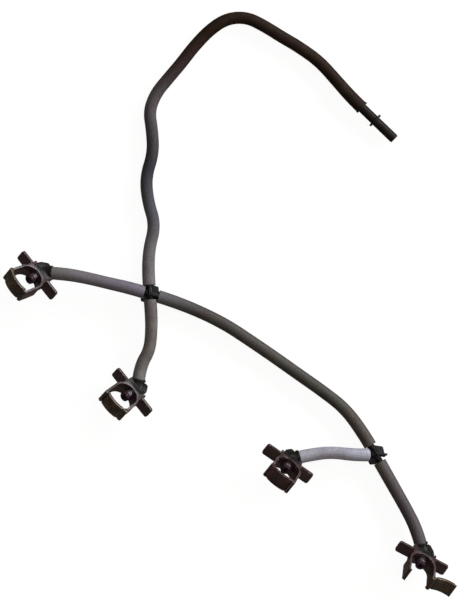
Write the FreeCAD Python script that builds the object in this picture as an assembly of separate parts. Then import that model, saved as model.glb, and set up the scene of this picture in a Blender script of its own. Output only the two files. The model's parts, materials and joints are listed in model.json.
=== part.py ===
import FreeCAD, Part
import math
import os

os.makedirs("parts", exist_ok=True)
V = FreeCAD.Vector

# Injector return hose: four quick connectors, six hose runs, a cross, a tee and a return nipple.
# It lies on a table: +X is right, +Y is up in the plan, +Z stands up from the table.
# Millimetres throughout.

# Hose
hose_od = 8.0
hose_bore = 4.4
end_run = 9.0

# Barbed stubs that the hoses push on to
stub_od = 3.8
stub_bore = 2.4
barb_clearance = 0.05
barb_length = 7.0
barb_count = 2
barb_land = 0.5

# Cross and tee fittings
fitting_tube_od = 5.0
tee_height = 4.3
cross_height = 6.2
cross_tilt = 14.0
tee_tilt = 23.0
web_gap = 0.25
web_lean = 0.25
web_thickness = 2.6
web_drop = 0.2
web_reach = 7.4
web_half_width = 5.6
web_shoulder = 3.4
web_round = 1.1
rib_width = 1.3
rib_rise = 0.9
cross_rib_reach = 5.2
tee_rib_reach = 7.0
near_seat = 4.15
far_seat = 5.75
tee_near_seat = 5.4
tee_far_seat = 7.0
tee_branch_seat = 5.15

# Return nipple
nipple_od = 6.3
nipple_bore = 3.4
nipple_collar_od = 9.0
nipple_collar_width = 1.4
nipple_shank = 12.2
bead_od = 9.8
bead_width = 1.5
nipple_tip = 16.8
nipple_chamfer = 0.6

# Clip frame: a saddle that pushes round the injector's neck
neck_bore = 16.0
ring_wall = 1.4
frame_height = 10.0
hook_lean = 0.9
hook_reach = 12.4
lip_width = 2.4
lip_thickness = 1.2
lip_gap = 0.3
hinge_arm_thickness = 1.5
hinge_out = 9.7
hinge_forward = 9.3
wing_span = 36.0
wing_height = 8.5
wing_thickness = 1.7
wing_corner = 1.6
shroud_width = 15.8
shroud_wall = 1.25
shroud_hook_depth = 5.6
shroud_hinge_depth = 3.5
shroud_front = -3.6

# Gate: the curved band that closes the mouth of the clip
gate_thickness = 1.8
gate_overhang = 0.1
gate_free_w = 7.0
gate_free_s = 11.2
gate_bow_radius = 18.3
gate_latch_step = 0.5
gate_latch_width = 1.8
gate_neck = 1.0
knuckle_r = 1.5
knuckle_clearance = 0.08
gate_end_clearance = 0.3
gate_open_angle = 185.0

# Elbow: spigot into the injector, block behind the ring, stub to the hose
spigot_od = 6.3
spigot_reach = 6.6
spigot_flange_rim = 0.8
spigot_flange_width = 0.8
groove_depth = 1.0
groove_width = 1.4
groove_from_tip = 2.2
spigot_chamfer = 0.5
elbow_clearance = 0.05
elbow_inset = 0.3
elbow_shoulder = 4.8
elbow_tail = 11.0
elbow_tail_side = 2.6
elbow_flank = 6.6
elbow_flank_side = 5.6
elbow_slope = 2.4
elbow_corner = 1.0
elbow_back = 5.2
elbow_aside = 0.7
elbow_collar_od = 9.6
elbow_collar_width = 1.3
elbow_neck_od = 8.4
elbow_seat = 7.4
elbow_side = 0.69
elbow_down = 0.47
elbow_up = 0.55
dimple_r = 2.2
dimple_depth = 0.5
dimple_side = 2.6
dimple_back = 3.6

ring_r = neck_bore / 2 + ring_wall
half_height = frame_height / 2
gate_height = frame_height + 2 * gate_overhang
elbow_height = frame_height - 2 * elbow_inset
spigot_flange_od = frame_height - 2 * spigot_flange_rim


def cylinder(radius, length, base, direction):
    return Part.makeCylinder(radius, length, base, direction)


def washer(outer_r, inner_r, length, base, direction):
    outer = cylinder(outer_r, length, base, direction)
    return outer.cut(cylinder(inner_r, length, base, direction))


def box(x0, x1, y0, y1, z0, z1):
    return Part.makeBox(x1 - x0, y1 - y0, z1 - z0, V(x0, y0, z0))


def prism(points, z0, z1):
    corners = [V(x, y, z0) for x, y in points]
    face = Part.Face(Part.makePolygon(corners + corners[:1]))
    return face.extrude(V(0, 0, z1 - z0))


def edges_along(shape, direction):
    found = []
    for edge in shape.Edges:
        if isinstance(edge.Curve, Part.Line) and abs(edge.tangentAt(edge.FirstParameter).dot(direction)) > 0.999:
            found.append(edge)
    return found


def rounded(shape, radius, direction):
    return shape.makeFillet(radius, edges_along(shape, direction))


def barbed_stub(base, direction, length):
    """A hose stub: a tube with saw-tooth barbs, each a cone that rises to a short land."""
    crest_r = hose_bore / 2 - barb_clearance
    root_r = stub_od / 2
    pitch = length / barb_count
    shape = cylinder(root_r, length, base, direction)
    for i in range(barb_count):
        start = length - (i + 1) * pitch
        land = cylinder(crest_r, barb_land, base + direction * start, direction)
        cone_base = base + direction * (start + barb_land)
        cone = Part.makeCone(crest_r, root_r, pitch - barb_land, cone_base, direction)
        shape = shape.fuse(land).fuse(cone)
    return shape.removeSplitter()


def hose(points):
    """A plain tube along straight runs joined by tangent arcs."""
    edges = []
    radii = []
    at = points[0]
    for i in range(1, len(points) - 1):
        back = points[i - 1] - points[i]
        ahead = points[i + 1] - points[i]
        reach = 0.45 * min(back.Length, ahead.Length)
        turn = math.pi - back.getAngle(ahead)
        radii.append(reach / math.tan(turn / 2))
        back.normalize()
        ahead.normalize()
        start = points[i] + back * reach
        end = points[i] + ahead * reach
        inward = back + ahead
        inward.normalize()
        to_middle = radii[-1] / math.cos(turn / 2) - radii[-1]
        edges.append(Part.LineSegment(at, start).toShape())
        edges.append(Part.Arc(start, points[i] + inward * to_middle, end).toShape())
        at = end
    edges.append(Part.LineSegment(at, points[-1]).toShape())
    path = Part.Wire(edges)
    direction = points[1] - points[0]
    tubes = []
    for radius in (hose_od / 2, hose_bore / 2):
        ring = Part.Wire(Part.Circle(points[0], direction, radius).toShape())
        tubes.append(path.makePipeShell([ring], True, False))
    tube = tubes[0].cut(tubes[1])
    section = math.pi * (hose_od ** 2 - hose_bore ** 2) / 4
    ratio = tube.Volume / section / path.Length
    print("length %.1f  volume / (section x length) %.4f" % (path.Length, ratio))
    print("  radii " + " ".join("%.0f" % r for r in radii))
    return tube


# The clip frame, gate, elbow and seal are drawn in the connector's own axes:
# X across the mouth, with the hook at +X; Y the way it is pushed on; Z along the injector.

gate_mid_r = gate_bow_radius
hinge_at = V(-hinge_out, hinge_forward, 0)
free_at = V(gate_free_w, gate_free_s, 0)
gate_chord = free_at - hinge_at
bow_rise = math.sqrt(gate_mid_r ** 2 - (gate_chord.Length / 2) ** 2)
bow_normal = V(-gate_chord.y, gate_chord.x, 0) / gate_chord.Length
bow_centre = (hinge_at + free_at) / 2 - bow_normal * bow_rise


def bow_point(radius, angle):
    return bow_centre + V(radius * math.cos(angle), radius * math.sin(angle), 0)


free_angle = math.atan2(gate_free_s - bow_centre.y, gate_free_w - bow_centre.x)
hinge_angle = math.atan2(hinge_forward - bow_centre.y, -hinge_out - bow_centre.x)


def bow_band(inner_r, outer_r, angle_0, angle_1, height):
    """Part of an annulus about the gate's bow centre, standing height tall about Z = 0."""
    middle = (angle_0 + angle_1) / 2
    outer = Part.Arc(bow_point(outer_r, angle_0), bow_point(outer_r, middle), bow_point(outer_r, angle_1))
    inner = Part.Arc(bow_point(inner_r, angle_1), bow_point(inner_r, middle), bow_point(inner_r, angle_0))
    side_1 = Part.LineSegment(bow_point(outer_r, angle_1), bow_point(inner_r, angle_1))
    side_0 = Part.LineSegment(bow_point(inner_r, angle_0), bow_point(outer_r, angle_0))
    wire = Part.Wire([outer.toShape(), side_1.toShape(), inner.toShape(), side_0.toShape()])
    wire.translate(V(0, 0, -height / 2))
    return Part.Face(wire).extrude(V(0, 0, height))


stub_direction = V(elbow_side, -elbow_down, elbow_up)
stub_direction.normalize()
elbow_at = V(-elbow_aside, -ring_r - elbow_back, 0)
hose_seat = elbow_at + stub_direction * elbow_seat


def clip_frame():
    """Saddle ring, thumb wings, shroud walls, hook arm and hinge arm, moulded in one piece."""
    z0 = -half_height
    z1 = half_height
    inner_r = neck_bore / 2
    ring = cylinder(ring_r, frame_height, V(0, 0, z0), V(0, 0, 1))
    body = ring.common(box(-ring_r, ring_r, -ring_r, 0, z0, z1))
    hook_out = ring_r - hook_lean
    hook_in = inner_r - hook_lean
    lip_inner_r = gate_mid_r + gate_thickness / 2 - gate_latch_step + lip_gap
    hook = prism([(inner_r, 0), (ring_r, 0), (hook_out, hook_reach), (hook_in, hook_reach)], z0, z1)
    lip_end = math.acos((hook_out - lip_width - bow_centre.x) / lip_inner_r)
    arm_end = math.acos((hook_out - bow_centre.x) / lip_inner_r)
    lip = bow_band(lip_inner_r, lip_inner_r + lip_thickness, arm_end, lip_end, frame_height)
    lip_corner = lip.common(box(0, hook_out, 0, hook_reach + 2 * lip_thickness, z0, z1))
    arm_to_lip = box(hook_in, hook_out, 0, 2 * hook_reach, z0, z1)
    under_lip = cylinder(lip_inner_r + lip_thickness, frame_height, V(bow_centre.x, bow_centre.y, z0), V(0, 0, 1))
    hook = hook.fuse(arm_to_lip.common(under_lip).cut(box(hook_in, hook_out, 0, hook_reach, z0, z1)))
    hook = hook.fuse(lip_corner)
    knuckle_seat_r = knuckle_r + knuckle_clearance
    arm_root = V(-(ring_r - ring_wall / 2), 0, 0)
    along = hinge_at - arm_root
    arm_length = along.Length
    along.normalize()
    across = V(-along.y, along.x, 0) * (hinge_arm_thickness / 2)
    arm_tip = arm_root + along * (arm_length - 0.7 * knuckle_seat_r)
    arm = prism([(-inner_r, 0), (-ring_r, 0), ((arm_tip + across).x, (arm_tip + across).y),
                 ((arm_tip - across).x, (arm_tip - across).y)], z0, z1)
    arm = arm.cut(cylinder(knuckle_seat_r, 2 * frame_height, hinge_at - V(0, 0, frame_height), V(0, 0, 1)))
    wing_front = -ring_r
    wings = box(-wing_span / 2, wing_span / 2, wing_front - wing_thickness, wing_front,
                -wing_height / 2, wing_height / 2)
    wings = rounded(wings, wing_corner, V(0, 1, 0))
    shroud_half = shroud_width / 2
    shroud = prism([(-shroud_half, shroud_front), (-shroud_half, wing_front - shroud_hinge_depth),
                    (0, wing_front - shroud_hinge_depth), (0, wing_front - shroud_hook_depth),
                    (shroud_half, wing_front - shroud_hook_depth), (shroud_half, shroud_front)], z0, z1)
    body = body.fuse(shroud).fuse(wings)
    pocket_half = shroud_half - shroud_wall
    pocket_back = wing_front - shroud_hook_depth - 1
    body = body.cut(box(-pocket_half, pocket_half, pocket_back, wing_front, -frame_height, frame_height))
    body = body.fuse(hook).fuse(arm)
    body = body.cut(cylinder(inner_r, 2 * frame_height, V(0, 0, -frame_height), V(0, 0, 1)))
    hole_r = spigot_flange_od / 2 + elbow_clearance
    body = body.cut(cylinder(hole_r, 3 * ring_wall, V(0, -ring_r - ring_wall / 2, 0), V(0, 1, 0)))
    boss_r = elbow_collar_od / 2 + 4 * elbow_clearance
    body = body.cut(cylinder(boss_r, 3 * elbow_seat, elbow_at, stub_direction))
    return body.removeSplitter()


def gate():
    """The closed gate: a bowed band with a knuckle at the hinge arm and a stepped end under the lip."""
    inner_r = gate_mid_r - gate_thickness / 2
    outer_r = gate_mid_r + gate_thickness / 2
    end_angle = free_angle + gate_end_clearance / gate_mid_r
    band_start = hinge_angle - 1.9 * knuckle_r / gate_mid_r
    band = bow_band(inner_r, outer_r, end_angle, band_start, gate_height)
    step_angle = free_angle + gate_latch_width / gate_mid_r
    step_cut = bow_band(outer_r - gate_latch_step, outer_r + 1, free_angle - 0.2, step_angle, 2 * gate_height)
    neck = bow_band(gate_mid_r - gate_neck / 2, gate_mid_r + gate_neck / 2, band_start, hinge_angle, gate_height)
    knuckle = cylinder(knuckle_r, gate_height, hinge_at - V(0, 0, gate_height / 2), V(0, 0, 1))
    return band.cut(step_cut).fuse(neck).fuse(knuckle).removeSplitter()


def elbow():
    """Spigot, flange, block and barbed hose stub in one black moulding, bored right through."""
    pocket_half = shroud_width / 2 - shroud_wall - elbow_clearance
    front = -ring_r - elbow_clearance
    tail = front - elbow_tail
    outline = [(pocket_half, front), (pocket_half, front - elbow_shoulder), (-elbow_tail_side / 4, tail),
               (-elbow_tail_side, tail), (-elbow_flank_side, front - elbow_flank),
               (-pocket_half, front - elbow_slope), (-pocket_half, front)]
    block = prism(outline, -elbow_height / 2, elbow_height / 2)
    upright = [e for e in edges_along(block, V(0, 0, 1)) if e.CenterOfMass.y < front - 0.1]
    block = block.makeFillet(elbow_corner, upright)
    dimple_at = V(-dimple_side, front - dimple_back, elbow_height / 2 - dimple_depth)
    block = block.cut(cylinder(dimple_r, 1, dimple_at, V(0, 0, 1)))
    block = block.cut(cylinder(elbow_collar_od / 2, 2 * elbow_seat, hose_seat, stub_direction))
    y_axis = V(0, 1, 0)
    inner_r = neck_bore / 2
    flange = cylinder(spigot_flange_od / 2, ring_wall + spigot_flange_width, V(0, front, 0), y_axis)
    spigot_length = inner_r + spigot_reach
    spigot_tip = -inner_r + spigot_reach
    spigot_foot = V(0, elbow_at.y, 0)
    spigot = cylinder(spigot_od / 2, spigot_tip - elbow_at.y, spigot_foot, y_axis)
    tip_edges = [e for e in spigot.Edges if abs(e.CenterOfMass.y - spigot_tip) < 0.01]
    spigot = spigot.makeChamfer(spigot_chamfer, tip_edges)
    groove_at = V(0, spigot_tip - groove_from_tip - groove_width, 0)
    groove = washer(spigot_length, spigot_od / 2 - groove_depth, groove_width, groove_at, y_axis)
    neck = cylinder(elbow_neck_od / 2, elbow_seat - elbow_collar_width, elbow_at, stub_direction)
    collar_at = elbow_at + stub_direction * (elbow_seat - elbow_collar_width)
    collar = cylinder(elbow_collar_od / 2, elbow_collar_width, collar_at, stub_direction)
    stub = barbed_stub(hose_seat, stub_direction, barb_length)
    body = block.fuse(flange).fuse(spigot.cut(groove)).fuse(neck).fuse(collar).fuse(stub)
    body = body.cut(cylinder(stub_bore / 2, spigot_tip - elbow_at.y + 1, spigot_foot, y_axis))
    body = body.cut(cylinder(stub_bore / 2, elbow_aside, elbow_at, V(1, 0, 0)))
    body = body.cut(cylinder(stub_bore / 2, elbow_seat + barb_length + 1, elbow_at, stub_direction))
    body = body.cut(Part.makeSphere(stub_bore / 2, elbow_at))
    return body.removeSplitter()


def o_ring():
    """Seal in the spigot's groove, a round cord that stands a little proud of the spigot."""
    cord_r = groove_width / 2 - elbow_clearance
    centre_y = -neck_bore / 2 + spigot_reach - groove_from_tip - groove_width / 2
    return Part.makeTorus(spigot_od / 2 - groove_depth + cord_r, cord_r, V(0, centre_y, 0), V(0, 1, 0))


def mirrored(shape):
    return shape.mirror(V(0, 0, 0), V(1, 0, 0))


# Each connector: plan position, heading and elevation of its push direction, roll about it,
# and its hand: +1 has the hook to the left seen from the hose side, -1 is its mirror image.
connectors = {
    1: {"at": (-130.4, 13.9), "heading": 208.2, "elevation": 45.6, "roll": -14.7, "hand": -1},
    2: {"at": (-68.9, -61.9), "heading": 208.7, "elevation": 46.4, "roll": -13.6, "hand": 1},
    3: {"at": (35.8, -109.3), "heading": 245.2, "elevation": 59.5, "roll": 11.5, "hand": -1},
    4: {"at": (123.1, -171.4), "heading": 253.5, "elevation": 54.6, "roll": 14.1, "hand": 1},
}
open_gate = 4


def connector_axes(spec):
    heading = math.radians(spec["heading"])
    elevation = math.radians(spec["elevation"])
    roll = math.radians(spec["roll"])
    level = math.cos(elevation)
    push = V(math.cos(heading) * level, math.sin(heading) * level, math.sin(elevation))
    flat_across = V(math.sin(heading), -math.cos(heading), 0)
    flat_up = flat_across.cross(push)
    across = flat_across * math.cos(roll) + flat_up * math.sin(roll)
    return across, push, across.cross(push)


def placement(spec, height):
    across, push, up = connector_axes(spec)
    turn = FreeCAD.Rotation(across, push, up, "YXZ")
    return FreeCAD.Placement(V(spec["at"][0], spec["at"][1], height), turn)


def moved(shape, place):
    copy = shape.copy()
    copy.Placement = place.multiply(copy.Placement)
    return copy


def lowest(shape):
    return min(point.z for point in shape.tessellate(0.02)[0])


solids = {}
frame_shape = clip_frame()
gate_shape = gate()
elbow_shape = elbow()
ring_shape = o_ring()
open_shape = gate_shape.copy()
open_shape.rotate(hinge_at, V(0, 0, 1), gate_open_angle)
seats = {}
for number, spec in connectors.items():
    pieces = {
        "clip_frame": frame_shape,
        "gate": open_shape if number == open_gate else gate_shape,
        "elbow": elbow_shape,
        "o_ring": ring_shape,
    }
    if spec["hand"] < 0:
        pieces = {name: mirrored(shape) for name, shape in pieces.items()}
    seat = V(hose_seat.x * spec["hand"], hose_seat.y, hose_seat.z)
    way = V(stub_direction.x * spec["hand"], stub_direction.y, stub_direction.z)
    level = placement(spec, 0)
    resting = [pieces["clip_frame"], pieces["elbow"], cylinder(hose_od / 2, end_run, seat, way)]
    place = placement(spec, -lowest(Part.makeCompound([moved(shape, level) for shape in resting])))
    for name, shape in pieces.items():
        solids["%s_%d" % (name, number)] = moved(shape, place)
    seats[number] = (place.multVec(seat), place.Rotation.multVec(way))
    print("connector %d centre height %.2f" % (number, place.Base.z))


def heading_vector(degrees):
    angle = math.radians(degrees)
    return V(math.cos(angle), math.sin(angle), 0)


def branch_fitting(arms, web_headings, ribs):
    """Moulded fitting, drawn level about its own centre: bored arms, each a tube up to the hose's
    seat and then a barbed stub, with webs between the wide-set arms and ribs along the top."""
    centre = V(0, 0, 0)
    top = fitting_tube_od / 2
    directions = [(heading_vector(heading), seat) for heading, seat in arms]
    pieces = []
    hose_ends = []
    for direction, seat in directions:
        pieces.append(cylinder(fitting_tube_od / 2, seat, centre, direction))
        pieces.append(barbed_stub(direction * seat, direction, barb_length))
        hose_ends.append(cylinder(hose_od / 2 + web_gap, 2 * web_reach, direction * (seat - web_gap), direction))
    for heading in web_headings:
        toward = heading_vector(heading)
        side = V(-toward.y, toward.x, 0) * web_half_width
        corner = toward * web_reach
        middle = toward * web_shoulder
        points = [centre, middle - side, corner, middle + side]
        low = -web_thickness / 2 - web_drop
        web = prism([(p.x, p.y) for p in points], low, low + web_thickness)
        tip = [e for e in edges_along(web, V(0, 0, 1)) if (e.CenterOfMass - corner).Length < web_thickness]
        pieces.append(web.makeFillet(web_round, tip).cut(hose_ends[0].multiFuse(hose_ends[1:])))
    for heading, reach in ribs:
        toward = heading_vector(heading)
        aside = V(-toward.y, toward.x, 0) * (rib_width / 2)
        start = toward * (-rib_width / 2)
        end = toward * reach
        points = [start - aside, end - aside, end + aside, start + aside]
        pieces.append(prism([(p.x, p.y) for p in points], 0, top + rib_rise))
    body = pieces[0].multiFuse(pieces[1:])
    bores = []
    for direction, seat in directions:
        bores.append(cylinder(stub_bore / 2, seat + barb_length + 1, centre, direction))
    return body.cut(bores[0].multiFuse(bores[1:])).removeSplitter()


def arm_seats(place, arms):
    """Where each hose starts on a placed fitting, and the way it leaves."""
    found = {}
    for name, (heading, seat) in arms.items():
        direction = heading_vector(heading)
        found[name] = (place.multVec(direction * seat), place.Rotation.multVec(direction))
    return found


# Cross: two straight lines of hose that pass through each other at a slant.
# The hoses from connectors 1 and 2 come down from above and hold it tilted.
cross_at = V(-51.4, 5.2, cross_height)
cross_line_a = 164.0
cross_line_b = 273.5
lifted_side = (cross_line_a + cross_line_b) / 2 + web_lean
cross_place = FreeCAD.Placement(cross_at, FreeCAD.Rotation(heading_vector(lifted_side - 90), cross_tilt))
cross_arms = {
    "hose_1": (cross_line_a, near_seat),
    "hose_2": (cross_line_b, near_seat),
    "hose_3": (cross_line_a + 180, far_seat),
    "hose_6": (cross_line_b - 180, far_seat),
}
cross_ribs = ((cross_line_b - 180, cross_rib_reach), (cross_line_a + 180, cross_rib_reach))
cross_shape = branch_fitting(cross_arms.values(), (lifted_side - 180, lifted_side), cross_ribs)
solids["cross_fitting"] = moved(cross_shape, cross_place)
cross_seats = arm_seats(cross_place, cross_arms)

# Tee: a straight run with one branch that leaves it at a slant, rolled about the run by the branch's hose.
tee_at = V(95.1, -99.2, tee_height)
run_heading = 119.5
tee_place = FreeCAD.Placement(tee_at, FreeCAD.Rotation(heading_vector(run_heading), tee_tilt))
tee_arms = {
    "hose_3": (run_heading, tee_far_seat),
    "hose_4": (182.0, tee_branch_seat),
    "hose_5": (run_heading + 180, tee_near_seat),
}
tee_ribs = ((run_heading, cross_rib_reach), (0.0, tee_rib_reach))
tee_shape = branch_fitting(tee_arms.values(), (48.0, 240.0), tee_ribs)
solids["tee_fitting"] = moved(tee_shape, tee_place)
tee_seats = arm_seats(tee_place, tee_arms)


def return_nipple(seat, direction):
    """Return nipple: barbed stub, collar, shank, snap-in bead and plain tip, bored through."""
    stub = barbed_stub(seat, -direction, barb_length)
    length = nipple_shank + bead_width + nipple_tip
    shank = cylinder(nipple_od / 2, length, seat, direction)
    end = seat + direction * length
    tip_edges = [e for e in shank.Edges if (e.CenterOfMass - end).Length < 0.01]
    shank = shank.makeChamfer(nipple_chamfer, tip_edges)
    collar = cylinder(nipple_collar_od / 2, nipple_collar_width, seat, direction)
    bead_at = seat + direction * nipple_shank
    bead = cylinder(bead_od / 2, bead_width, bead_at, direction)
    bead = bead.makeFillet(bead_width * 0.4, [e for e in bead.Edges if isinstance(e.Curve, Part.Circle)])
    body = shank.fuse(collar).fuse(bead).fuse(stub)
    start = seat - direction * (barb_length + 1)
    body = body.cut(cylinder(nipple_bore / 2, length - barb_length, seat + direction * barb_length, direction))
    body = body.cut(cylinder(stub_bore / 2, length + barb_length + 2, start, direction))
    return body.removeSplitter()


nipple_seat = V(85.5, 126.8, bead_od / 2)
nipple_direction = heading_vector(-44.0)
solids["return_nipple"] = return_nipple(nipple_seat, nipple_direction)

# Hose routes. Each list holds the points between the two seats, with the height of the axis.
hose_z = hose_od / 2


def route(start, middle, end):
    """From one seat to the next: straight out of each stub, with the chosen points between."""
    first, out = start
    last, back = end
    points = [first, first + out * end_run]
    points += [V(x, y, z) for x, y, z in middle]
    points += [last + back * end_run, last]
    return points


routes = {
    "hose_1": route(seats[1], [(-92.0, 15.6, 9.6), (-76.5, 11.8, 8.8)], cross_seats["hose_1"]),
    "hose_2": route(seats[2], [(-51.4, -31.0, 6.4), (-50.3, -18.0, 7.4)], cross_seats["hose_2"]),
    "hose_3": route(cross_seats["hose_3"],
                    [(-19.5, -6.0, hose_z), (-2.0, -14.7, hose_z), (13.8, -25.1, hose_z),
                     (29.6, -35.9, hose_z), (45.2, -47.0, hose_z), (60.7, -57.8, hose_z),
                     (75.6, -69.4, hose_z)],
                    tee_seats["hose_3"]),
    "hose_4": route(seats[3], [(66.6, -97.4, 6.4)], tee_seats["hose_4"]),
    "hose_5": route(seats[4], [(116.0, -136.0, 5.4)], tee_seats["hose_5"]),
    "hose_6": route(cross_seats["hose_6"],
                    [(-51.9, 34.3, hose_z), (-47.9, 50.1, hose_z), (-52.7, 65.5, hose_z),
                     (-54.1, 81.0, hose_z), (-49.1, 96.8, hose_z), (-50.0, 112.0, hose_z),
                     (-51.9, 124.0, hose_z), (-47.4, 135.6, hose_z), (-39.2, 145.4, hose_z),
                     (-31.0, 155.0, hose_z), (-23.0, 165.5, hose_z), (-12.6, 176.6, hose_z),
                     (-1.5, 184.0, hose_z), (11.5, 184.9, hose_z), (23.4, 178.9, hose_z),
                     (33.8, 172.3, hose_z), (45.7, 165.4, hose_z),
                     (58.6, 156.2, hose_z), (69.0, 144.6, hose_z)],
                    (nipple_seat, nipple_direction * -1)),
}
for name, points in routes.items():
    print(name + " " + " ".join("(%.1f, %.1f, %.1f)" % (p.x, p.y, p.z) for p in points))
    solids[name] = hose(points)

for name, shape in solids.items():
    if len(shape.Solids) != 1 or not shape.isValid():
        print("CHECK " + name + " solids %d valid %s" % (len(shape.Solids), shape.isValid()))
    shape.exportStep("parts/" + name + ".step")
whole = Part.makeCompound(list(solids.values())).BoundBox
print("box %.1f x %.1f x %.1f" % (whole.XLength, whole.YLength, whole.ZLength))
print("centre %.1f %.1f  lowest %.2f" % (whole.Center.x, whole.Center.y, whole.ZMin))
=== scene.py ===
import json
import math

import bmesh
import bpy
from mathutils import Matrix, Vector


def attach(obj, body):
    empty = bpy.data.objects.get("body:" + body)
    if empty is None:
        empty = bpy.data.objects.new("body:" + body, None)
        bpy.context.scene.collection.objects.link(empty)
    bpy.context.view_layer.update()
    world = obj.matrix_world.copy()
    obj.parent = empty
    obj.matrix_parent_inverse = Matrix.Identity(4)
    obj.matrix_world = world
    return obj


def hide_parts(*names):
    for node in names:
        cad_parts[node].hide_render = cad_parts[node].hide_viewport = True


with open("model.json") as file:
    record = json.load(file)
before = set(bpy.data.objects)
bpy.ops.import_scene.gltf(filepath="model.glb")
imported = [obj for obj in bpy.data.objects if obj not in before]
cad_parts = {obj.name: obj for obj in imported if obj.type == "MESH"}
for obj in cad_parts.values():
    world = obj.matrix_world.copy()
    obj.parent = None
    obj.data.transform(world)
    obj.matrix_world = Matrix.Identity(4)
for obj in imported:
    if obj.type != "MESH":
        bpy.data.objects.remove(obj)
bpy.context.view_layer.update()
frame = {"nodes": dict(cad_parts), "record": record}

scene = bpy.context.scene
scene.view_settings.view_transform = "Standard"

# sockets of a Mix node: its share, two numbers and two colours, and what comes out
mix_share, number_a, number_b, colour_a, colour_b = 0, 2, 3, 6, 7
mixed_number, mixed_colour = 0, 2


def linear(hex_colour):
    """An sRGB hex value as linear red, green, blue and alpha."""
    channels = [int(hex_colour[i:i + 2], 16) / 255 for i in (1, 3, 5)]
    return [c / 12.92 if c <= 0.04045 else ((c + 0.055) / 1.055) ** 2.4 for c in channels] + [1.0]


def add(tree, kind, inputs=None, **settings):
    """Adds a node with its settings; a value in inputs that is a socket becomes a link."""
    node = tree.nodes.new(kind)
    for key, value in settings.items():
        setattr(node, key, value)
    for key, value in (inputs or {}).items():
        if isinstance(value, bpy.types.NodeSocket):
            tree.links.new(value, node.inputs[key])
        else:
            node.inputs[key].default_value = value
    return node


def empty_material(name):
    """A new material without nodes, and its tree."""
    material = bpy.data.materials.new(name)
    material.use_nodes = True
    material.node_tree.nodes.clear()
    return material, material.node_tree


def set_stops(ramp, stops):
    """Gives a colour ramp its stops, each a position from 0 to 1 and a hex colour."""
    elements = ramp.color_ramp.elements
    while len(elements) < len(stops):
        elements.new(0.5)  # its own position comes next
    for element, (position, colour) in zip(elements, stops):
        element.position = position
        element.color = linear(colour)


# Rubber of the hoses

noise_low, noise_high = 0.3, 0.7  # a noise texture seldom leaves this range
bloom_patch = 0.012  # length of one patch of bloom
bloom_starts, bloom_full = 0.42, 0.72
die_pebble = 0.0011  # pebble of the die: 0.3 mm on the real hose, drawn coarser so that it shows
pebble_shade, pebble_light = 0.80, 1.16  # its hollows and tops against the rubber's own tone
pebble_strength, pebble_depth = 0.35, 0.00025
dullness_spread = 0.09  # how far the roughness goes up and down from patch to patch
rubber_ior = 1.52


def extruded_rubber(name, direction, reach, stops, bloom_colour, bloom=0.35, dullness=0.59,
                    specular=0.32):
    """Extruded nitrile rubber. Dull and faintly pebbled, with a pale bloom in patches.

    The colour runs through the stops along direction, from the first distance of reach
    to the second, because fuel-soaked stretches are browner and darker than dry ones;
    some stops are lightened as a painted sheen.
    """
    material, tree = empty_material(name)
    place = add(tree, "ShaderNodeTexCoord").outputs["Object"]

    along = add(tree, "ShaderNodeVectorMath", {0: place, 1: direction}, operation="DOT_PRODUCT")
    share = add(tree, "ShaderNodeMapRange", {
        "Value": along.outputs["Value"], "From Min": reach[0], "From Max": reach[1]})
    base = add(tree, "ShaderNodeValToRGB", {"Fac": share.outputs["Result"]})
    set_stops(base, stops)

    patches = add(tree, "ShaderNodeTexNoise", {
        "Vector": place, "Scale": 1 / bloom_patch, "Detail": 3.0, "Roughness": 0.6})
    patch_share = add(tree, "ShaderNodeMapRange", {
        "Value": patches.outputs["Fac"], "From Min": bloom_starts, "From Max": bloom_full,
        "To Max": bloom})
    bloomed = add(tree, "ShaderNodeMix", {
        mix_share: patch_share.outputs["Result"],
        colour_a: base.outputs["Color"],
        colour_b: linear(bloom_colour)}, data_type="RGBA")

    pebble = add(tree, "ShaderNodeTexNoise", {
        "Vector": place, "Scale": 1 / die_pebble, "Detail": 2.0, "Roughness": 0.55})
    speckle = add(tree, "ShaderNodeMapRange", {
        "Value": pebble.outputs["Fac"], "From Min": noise_low, "From Max": noise_high,
        "To Min": pebble_shade, "To Max": pebble_light})
    tone = add(tree, "ShaderNodeVectorMath", {
        0: bloomed.outputs[mixed_colour], "Scale": speckle.outputs["Result"]}, operation="SCALE")

    rough = add(tree, "ShaderNodeMapRange", {
        "Value": patches.outputs["Fac"],
        "To Min": dullness - dullness_spread, "To Max": dullness + dullness_spread})
    relief = add(tree, "ShaderNodeBump", {
        "Height": pebble.outputs["Fac"], "Strength": pebble_strength, "Distance": pebble_depth})
    shader = add(tree, "ShaderNodeBsdfPrincipled", {
        "Base Color": tone.outputs["Vector"], "Roughness": rough.outputs["Result"],
        "IOR": rubber_ior, "Specular IOR Level": specular, "Normal": relief.outputs["Normal"]})
    add(tree, "ShaderNodeOutputMaterial", {"Surface": shader.outputs["BSDF"]})
    return material


to_the_right = (1.0, 0.0, 0.0)
up_the_photo = (0.0, 1.0, 0.0)
to_the_upper_right = (1.0, 1.0, 0.0)

# dry violet grey, even over the whole of hose 1
rubber_1 = extruded_rubber("nitrile_rubber_violet_grey", to_the_right, (-0.115, -0.055), [
    (0.0, "#6a6a68"), (0.35, "#676369"), (1.0, "#68616f")], "#77747d")

# mid grey with much pale bloom, lighter towards connector 2
rubber_2 = extruded_rubber("nitrile_rubber_mid_grey", up_the_photo, (-0.050, 0.0), [
    (0.0, "#6b6966"), (0.4, "#5c5856"), (1.0, "#5b5655")], "#83827d", bloom=0.5)

# bluish grey at the cross, brown grey along the rest
rubber_3 = extruded_rubber("nitrile_rubber_brown_grey", to_the_right, (-0.045, 0.090), [
    (0.0, "#58595d"), (0.2, "#3f3a37"), (0.5, "#403d38"), (0.8, "#393731"),
    (1.0, "#433a35")], "#585650")

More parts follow.
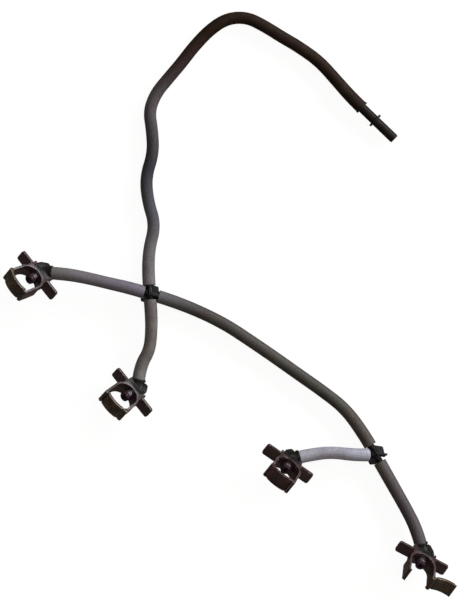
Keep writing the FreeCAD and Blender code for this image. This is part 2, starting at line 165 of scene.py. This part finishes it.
# a paler and smoother rubber than the others, which takes a soft gloss
rubber_4 = extruded_rubber("nitrile_rubber_pale_lilac", to_the_right, (0.045, 0.090), [
    (0.0, "#999aa5"), (0.5, "#a2a3af"), (1.0, "#9192a2")], "#b6b7c2",
    bloom=0.5, dullness=0.42, specular=0.5)

# dark grey with a violet middle
rubber_5 = extruded_rubber("nitrile_rubber_dark_grey", to_the_right, (0.095, 0.125), [
    (0.0, "#524e45"), (0.35, "#443d41"), (0.7, "#40383d"), (1.0, "#4a4448")], "#54504f")

# dry grey past the cross and a bluish grey after it, both lightened as a painted sheen, then
# darker, and soaked to a dull black brown at the nipple
rubber_6 = extruded_rubber("nitrile_rubber_fuel_soaked_painted_sheen", to_the_upper_right, (-0.040, 0.212), [
    (0.0, "#706d6e"), (0.11, "#6c6a6d"), (0.20, "#4e4f56"), (0.30, "#33343b"),
    (0.48, "#565152"), (0.60, "#3b3133"), (0.69, "#30201e"), (0.80, "#21150a"),
    (1.0, "#22150c")], "#40372f", bloom=0.22, dullness=0.62, specular=0.11)


# Nylon of the mouldings, and the oiled O-rings

wear_patch = 0.005  # size of one cloud of wear
wear_starts, wear_full, wear_most = 0.42, 0.68, 0.9
scuff_glint_starts, scuff_glint_full = 0.50, 0.60  # scuffs and painted glints on the edges are the middles of the same clouds
spark_grain = 0.0010  # spark grain: 0.1 mm on the real tool, drawn coarser so that it shows
spark_shade, spark_light = 0.70, 1.34  # its pits and tops against the nylon's own tone
spark_strength = 0.3
less_rough, more_rough = 0.08, 0.10  # how far the roughness goes down and up with the wear
rubbed_roughness = 0.28  # where the grain is rubbed off
nylon_ior = 1.53


def moulded_nylon(name, colour, worn_colour, edge_highlight_colour, scuff_and_glint_colour, roughness,
                  specular=0.5, relief_depth=0.00012, spigot_colour=None):
    """Injection-moulded polyamide. A spark-eroded satin grain breaks up the reflections.

    Handled places are a little paler. The rounded edges, which the mesh marks as "edge",
    are rubbed smooth and take a paler colour as a painted highlight, scuffed pale in places
    partly by wear and partly as a painted glint. With a spigot_colour, the spigot, marked as
    "spigot", takes that colour and is the smooth part instead.
    """
    material, tree = empty_material(name)
    place = add(tree, "ShaderNodeTexCoord").outputs["Object"]

    wear = add(tree, "ShaderNodeTexNoise", {
        "Vector": place, "Scale": 1 / wear_patch, "Detail": 4.0, "Roughness": 0.62})
    wear_share = add(tree, "ShaderNodeMapRange", {
        "Value": wear.outputs["Fac"], "From Min": wear_starts, "From Max": wear_full,
        "To Max": wear_most})
    faces = add(tree, "ShaderNodeMix", {
        mix_share: wear_share.outputs["Result"],
        colour_a: linear(colour), colour_b: linear(worn_colour)}, data_type="RGBA")

    # the rounded edges take a painted highlight colour, scuffed pale by wear and painted glint
    edge = add(tree, "ShaderNodeAttribute", attribute_name="edge")
    scuff_and_glint_share = add(tree, "ShaderNodeMapRange", {
        "Value": wear.outputs["Fac"], "From Min": scuff_glint_starts, "From Max": scuff_glint_full})
    edges = add(tree, "ShaderNodeMix", {
        mix_share: scuff_and_glint_share.outputs["Result"],
        colour_a: linear(edge_highlight_colour), colour_b: linear(scuff_and_glint_colour)}, data_type="RGBA")
    surface = add(tree, "ShaderNodeMix", {
        mix_share: edge.outputs["Fac"],
        colour_a: faces.outputs[mixed_colour],
        colour_b: edges.outputs[mixed_colour]}, data_type="RGBA")

    smooth = edge
    if spigot_colour:
        smooth = add(tree, "ShaderNodeAttribute", attribute_name="spigot")
        surface = add(tree, "ShaderNodeMix", {
            mix_share: smooth.outputs["Fac"],
            colour_a: surface.outputs[mixed_colour],
            colour_b: linear(spigot_colour)}, data_type="RGBA")

    spark = add(tree, "ShaderNodeTexNoise", {
        "Vector": place, "Scale": 1 / spark_grain, "Detail": 2.0, "Roughness": 0.6})
    speckle = add(tree, "ShaderNodeMapRange", {
        "Value": spark.outputs["Fac"], "From Min": noise_low, "From Max": noise_high,
        "To Min": spark_shade, "To Max": spark_light})
    tone = add(tree, "ShaderNodeVectorMath", {
        0: surface.outputs[mixed_colour], "Scale": speckle.outputs["Result"]}, operation="SCALE")

    clouded = add(tree, "ShaderNodeMapRange", {
        "Value": wear.outputs["Fac"],
        "To Min": roughness - less_rough, "To Max": roughness + more_rough})
    rough = add(tree, "ShaderNodeMix", {
        mix_share: smooth.outputs["Fac"],
        number_a: clouded.outputs["Result"], number_b: rubbed_roughness})
    relief = add(tree, "ShaderNodeBump", {
        "Height": spark.outputs["Fac"], "Strength": spark_strength, "Distance": relief_depth})
    shader = add(tree, "ShaderNodeBsdfPrincipled", {
        "Base Color": tone.outputs["Vector"], "Roughness": rough.outputs[mixed_number],
        "IOR": nylon_ior, "Specular IOR Level": specular, "Normal": relief.outputs["Normal"]})
    add(tree, "ShaderNodeOutputMaterial", {"Surface": shader.outputs["BSDF"]})
    return material


# unfilled nylon has a satin gloss; its edges take a painted highlight, scuffed pale in places
# partly by wear and partly as a painted glint
clip_nylon = moulded_nylon(
    "clip_pa66_red_brown", "#260f0e", "#3b2423", "#4d4147", "#b4aaae",
    roughness=0.40, specular=0.68)
gate_nylon = moulded_nylon(
    "gate_pa66_olive_brown", "#2c2017", "#51422a", "#5a4e3e", "#a39c88", roughness=0.38)
red_gate_nylon = moulded_nylon(
    "gate_pa66_red_brown", "#271311", "#3e241e", "#63534f", "#a39490", roughness=0.38)

# glass-filled nylon is a flat near-black; its grey edges are a painted highlight
elbow_nylon = moulded_nylon(
    "elbow_glass_filled_pa_black", "#080606", "#121010", "#303232", "#6c6f6e",
    roughness=0.40, specular=0.25, spigot_colour="#30202a")
fitting_nylon = moulded_nylon(
    "fitting_glass_filled_pa_black", "#060505", "#0d0c0c", "#808084", "#b4b4b8",
    roughness=0.55, specular=0.14)

# softer nylon, black brown with hardly any light on its edges
nipple_nylon = moulded_nylon(
    "nipple_pa12_black_brown", "#130c08", "#1c1510", "#2c2622", "#3a332c",
    roughness=0.46, specular=0.13)

# oil makes a smooth rubber ring glint; it has no rubbed edges and almost no grain
seal_rubber = moulded_nylon(
    "o_ring_oiled_fluorocarbon_rubber", "#2a1d24", "#382a31", "#2a1d24", "#382a31",
    roughness=0.13, specular=1.0, relief_depth=0.000004)


# Hoses: centre lines in metres, from one seat to the next

routes = {
    "hose_1": [
        (-0.1145, 0.0187, 0.0088), (-0.1057, 0.0181, 0.0102), (-0.0920, 0.0156, 0.0096),
        (-0.0765, 0.0118, 0.0088), (-0.0639, 0.0090, 0.0080), (-0.0553, 0.0064, 0.0068)],
    "hose_2": [
        (-0.0586, -0.0503, 0.0067), (-0.0574, -0.0414, 0.0060), (-0.0514, -0.0310, 0.0064),
        (-0.0503, -0.0180, 0.0074), (-0.0504, -0.0078, 0.0080), (-0.0511, 0.0011, 0.0068)],
    "hose_3": [
        (-0.0459, 0.0036, 0.0054), (-0.0374, 0.0010, 0.0042), (-0.0195, -0.0060, 0.0040),
        (-0.0020, -0.0147, 0.0040), (0.0138, -0.0251, 0.0040), (0.0296, -0.0359, 0.0040),
        (0.0452, -0.0470, 0.0040), (0.0607, -0.0578, 0.0040), (0.0756, -0.0694, 0.0040),
        (0.0872, -0.0853, 0.0043), (0.0917, -0.0931, 0.0043)],
    "hose_4": [
        (0.0454, -0.1007, 0.0059), (0.0541, -0.0989, 0.0042), (0.0666, -0.0974, 0.0064),
        (0.0818, -0.0992, 0.0092), (0.0903, -0.0992, 0.0061)],
    "hose_5": [
        (0.1241, -0.1565, 0.0078), (0.1216, -0.1478, 0.0080), (0.1160, -0.1360, 0.0054),
        (0.1022, -0.1117, 0.0043), (0.0978, -0.1039, 0.0043)],
    "hose_6": [
        (-0.0518, 0.0109, 0.0054), (-0.0525, 0.0198, 0.0042), (-0.0519, 0.0343, 0.0040),
        (-0.0479, 0.0501, 0.0040), (-0.0527, 0.0655, 0.0040), (-0.0541, 0.0810, 0.0040),
        (-0.0491, 0.0968, 0.0040), (-0.0500, 0.1120, 0.0040), (-0.0519, 0.1240, 0.0040),
        (-0.0474, 0.1356, 0.0040), (-0.0392, 0.1454, 0.0040), (-0.0310, 0.1550, 0.0040),
        (-0.0230, 0.1655, 0.0040), (-0.0126, 0.1766, 0.0040), (-0.0015, 0.1840, 0.0040),
        (0.0115, 0.1849, 0.0040), (0.0234, 0.1789, 0.0040), (0.0338, 0.1723, 0.0040),
        (0.0457, 0.1654, 0.0040), (0.0586, 0.1562, 0.0040), (0.0690, 0.1446, 0.0040),
        (0.0790, 0.1331, 0.0049), (0.0855, 0.1268, 0.0049)],
}
rubbers = {"hose_1": rubber_1, "hose_2": rubber_2, "hose_3": rubber_3,
           "hose_4": rubber_4, "hose_5": rubber_5, "hose_6": rubber_6}
hose_diameter = 0.008
hose_radius = hose_diameter / 2
point_weight = 1.0
end_swell = 1.05  # the barbs stretch the ends of a hose a little
swelled_points = (0, 1, -2, -1)
steps_along = 14  # between two points of a route
steps_around = 12  # more steps round each quarter of the hose

for node, route in routes.items():
    curve = bpy.data.curves.new(node + "_rubber", "CURVE")
    curve.dimensions = "3D"
    spline = curve.splines.new("NURBS")
    spline.points.add(len(route) - 1)
    for point, place in zip(spline.points, route):
        point.co = (*place, point_weight)
    for end in swelled_points:
        spline.points[end].radius = end_swell
    spline.order_u = 3
    spline.use_endpoint_u = True
    spline.resolution_u = steps_along
    curve.bevel_depth = hose_radius
    curve.bevel_resolution = steps_around
    curve.use_fill_caps = True
    hose = bpy.data.objects.new(node + "_rubber", curve)
    scene.collection.objects.link(hose)
    curve.materials.append(rubbers[node])
    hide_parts(node)
    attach(hose, "hose_body")


# Mouldings: merged copies of the solids with their edges broken

merge_distance = 0.000002
flat_angle = math.radians(1.0)  # faces that meet at less are one face
sharp_angle = math.radians(32)  # edges that turn by more get a round
shading_angle = math.radians(35)  # edges that turn by more stay crisp in the shading
round_segments = 2
edge_rounds = {"clip": 0.00035, "gate": 0.00028, "elbow": 0.00030, "fitting": 0.00040,
               "nipple": 0.00015}
face_slot, round_slot = 0, 1
body_of = {node: body for body, nodes in frame["record"]["behaviour"]["bodies"].items()
           for node in nodes}


def broken_edges(node, material, slot_name):
    """A merged copy of a solid whose sharp edges have a small round, as they leave the mould."""
    mesh = frame["nodes"][node].data.copy()
    shell = bmesh.new()
    shell.from_mesh(mesh)
    bmesh.ops.remove_doubles(shell, verts=shell.verts, dist=merge_distance)
    bmesh.ops.dissolve_limit(shell, angle_limit=flat_angle, verts=shell.verts, edges=shell.edges)
    shell.to_mesh(mesh)
    shell.free()
    piece = bpy.data.objects.new(node + "_moulding", mesh)
    scene.collection.objects.link(piece)

    # the same material twice, so that the bevel can tell its faces from the rest by their slot
    mesh.materials.clear()
    mesh.materials.append(material)
    mesh.materials.append(material)
    bevel = piece.modifiers.new("broken_edges", "BEVEL")
    bevel.width = edge_rounds[slot_name]
    bevel.segments = round_segments
    bevel.material = round_slot
    bevel.limit_method = "ANGLE"
    bevel.angle_limit = sharp_angle
    depsgraph = bpy.context.evaluated_depsgraph_get()
    rounded = bpy.data.meshes.new_from_object(piece.evaluated_get(depsgraph))
    piece.modifiers.remove(bevel)
    piece.data = rounded

    # only the edges that stand out are rubbed and take the painted highlight, not the rounded
    # inner corners
    shell = bmesh.new()
    shell.from_mesh(rounded)
    rubbed_and_lit = shell.faces.layers.float.new("edge")
    for face in shell.faces:
        turn = sum(line.calc_face_angle_signed(0.0) for line in face.edges)
        face[rubbed_and_lit] = 1.0 if face.material_index == round_slot and turn > 0 else 0.0
        face.material_index = face_slot
        face.smooth = True
    shell.to_mesh(rounded)
    shell.free()
    rounded.materials.clear()
    rounded.materials.append(material)
    rounded.set_sharp_from_angle(angle=shading_angle)

    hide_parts(node)
    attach(piece, body_of[node])
    return piece


spigot_behind = 0.0046  # from the middle of its sealing land back to its flange
spigot_radius = 0.0034  # a little more than its own


def mark_spigot(elbow, mount):
    """Marks the spigot in front of its flange, which its material colours reddish and makes
    smooth.
    """
    middle = Vector(mount["pos_m"])
    axis = Vector(mount["axis"])
    spigot_layer = elbow.data.attributes.new("spigot", "FLOAT", "FACE")
    for polygon, share in zip(elbow.data.polygons, spigot_layer.data):
        offset = polygon.center - middle
        along = offset.dot(axis)
        off_axis = (offset - axis * along).length
        share.value = 1.0 if along > -spigot_behind and off_axis < spigot_radius else 0.0


mounts = {mount["name"]: mount for mount in frame["record"]["mounts"]}
connectors = (1, 2, 3, 4)
red_gate = 3

for number in connectors:
    broken_edges("clip_frame_%d" % number, clip_nylon, "clip")
    broken_edges("gate_%d" % number, red_gate_nylon if number == red_gate else gate_nylon, "gate")
    elbow = broken_edges("elbow_%d" % number, elbow_nylon, "elbow")
    mark_spigot(elbow, mounts["spigot_%d" % number])
    seal = frame["nodes"]["o_ring_%d" % number]
    seal.data.materials.clear()
    seal.data.materials.append(seal_rubber)
broken_edges("cross_fitting", fitting_nylon, "fitting")
broken_edges("tee_fitting", fitting_nylon, "fitting")
broken_edges("return_nipple", nipple_nylon, "nipple")


# Floor: white paper to the camera, and a warm grey for the light that it throws back

floor_half = 1.6
floor_gap = 0.0001  # the part stands on z 0, so the paper lies just under it
paper_glow = 1.06
paper_glow_share = 0.88  # the rest of it takes the object's shadow

floor_mesh = bpy.data.meshes.new("floor")
floor_corners = [(-floor_half, -floor_half, 0), (floor_half, -floor_half, 0),
                 (floor_half, floor_half, 0), (-floor_half, floor_half, 0)]
floor_mesh.from_pydata(floor_corners, [], [(0, 1, 2, 3)])
floor = bpy.data.objects.new("floor", floor_mesh)
floor.location.z = -floor_gap
scene.collection.objects.link(floor)

paper, paper_tree = empty_material("studio_paper_white")
seen = add(paper_tree, "ShaderNodeLightPath").outputs["Is Camera Ray"]
glow_share = add(paper_tree, "ShaderNodeMath", {0: seen, 1: paper_glow_share},
                 operation="MULTIPLY")
bounce = add(paper_tree, "ShaderNodeMix", {
    mix_share: seen, colour_a: linear("#908a84"), colour_b: linear("#fafafa")},
    data_type="RGBA")
matt = add(paper_tree, "ShaderNodeBsdfDiffuse", {"Color": bounce.outputs[mixed_colour]})
glow = add(paper_tree, "ShaderNodeEmission", {
    "Color": linear("#ffffff"), "Strength": paper_glow})
both = add(paper_tree, "ShaderNodeMixShader", {
    0: glow_share.outputs["Value"], 1: matt.outputs["BSDF"], 2: glow.outputs["Emission"]})
add(paper_tree, "ShaderNodeOutputMaterial", {"Surface": both.outputs["Shader"]})
floor_mesh.materials.append(paper)


# Room: soft warm light, brighter towards the window, and plain white to the camera

towards_window = (0.62, 0.42, 0.45)
dark_side, bright_side = -0.7, 0.8  # how far a direction leans away from the window or to it
darkest, brightest = 0.08, 0.45
room_white = 1.0

world = bpy.data.worlds.new("soft_room")
scene.world = world
world.use_nodes = True
room_tree = world.node_tree
room_tree.nodes.clear()
heading = add(room_tree, "ShaderNodeTexCoord").outputs["Generated"]
lean = add(room_tree, "ShaderNodeVectorMath", {0: heading, 1: towards_window},
           operation="DOT_PRODUCT")
level = add(room_tree, "ShaderNodeMapRange", {
    "Value": lean.outputs["Value"], "From Min": dark_side, "From Max": bright_side,
    "To Min": darkest, "To Max": brightest})
seen = add(room_tree, "ShaderNodeLightPath").outputs["Is Camera Ray"]
strength = add(room_tree, "ShaderNodeMix", {
    mix_share: seen, number_a: level.outputs["Result"], number_b: room_white})
tint = add(room_tree, "ShaderNodeMix", {
    mix_share: seen, colour_a: linear("#fff3e8"), colour_b: linear("#ffffff")},
    data_type="RGBA")
backdrop = add(room_tree, "ShaderNodeBackground", {
    "Color": tint.outputs[mixed_colour], "Strength": strength.outputs[mixed_number]})
add(room_tree, "ShaderNodeOutputWorld", {"Surface": backdrop.outputs["Background"]})


# Lamps

def softbox(name, place, watts, width, height, colour):
    """A rectangular lamp that faces the middle of the part."""
    light = bpy.data.lights.new(name, "AREA")
    light.energy = watts
    light.color = linear(colour)[:3]
    light.shape = "RECTANGLE"
    light.size = width
    light.size_y = height
    lamp = bpy.data.objects.new(name, light)
    lamp.location = place
    lamp.rotation_euler = (-Vector(place)).to_track_quat("-Z", "Y").to_euler()
    scene.collection.objects.link(lamp)


daylight, lamplight = "#f6f9ff", "#fff6ee"
softbox("window_right", (1.18, 0.86, 0.62), watts=33.0, width=2.4, height=0.36, colour=daylight)
softbox("overhead", (0.1, 0.3, 1.6), watts=3.0, width=1.0, height=1.0, colour=lamplight)
softbox("sill_right", (1.50, 0.85, 0.27), watts=4.0, width=0.5, height=0.5, colour=daylight)


# Camera: straight above, as in the photograph

view_middle = (0.0013, 0.0013)
view_height = 0.390  # what the picture's height covers on the floor
camera_height = 3.0

camera_data = bpy.data.cameras.new("camera")
camera = bpy.data.objects.new("camera", camera_data)
scene.collection.objects.link(camera)
camera.location = (*view_middle, camera_height)
camera_data.sensor_width = 36.0
camera_data.lens = camera_data.sensor_width * camera_height / view_height
camera_data.clip_end = 10.0
scene.camera = camera
